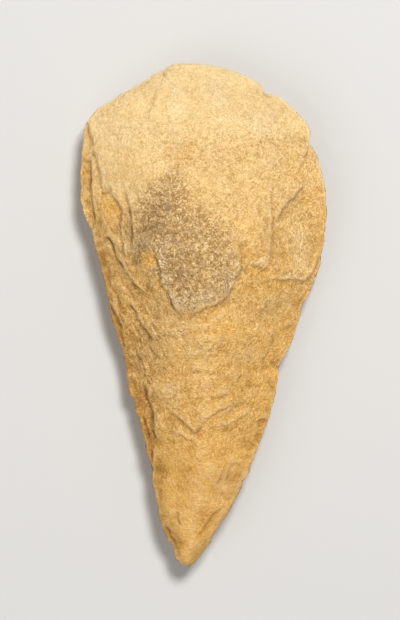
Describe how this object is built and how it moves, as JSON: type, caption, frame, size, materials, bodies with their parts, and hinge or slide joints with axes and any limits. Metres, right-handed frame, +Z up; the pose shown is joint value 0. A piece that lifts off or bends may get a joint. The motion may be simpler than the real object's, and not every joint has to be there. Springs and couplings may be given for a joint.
{
  "type": "stone hand axe",
  "caption": "Knapped stone hand axe with a broad rounded butt, a long taper to the point and flaked faces.",
  "frame": {"origin": "under the middle of the stone, on the surface that it lies on", "axes": "+Y from the point to the butt, +X across to the right edge as seen from above, +Z up out of the flaked upper face"},
  "size_m": [0.0886, 0.18, 0.0398],
  "materials": {
    "sandstone": "dry, coarse-grained and matte, with a speckled grey-brown patch of old crust"
  },
  "bodies": {
    "root": {"hand_axe": "sandstone"}
  },
  "joints": []
}
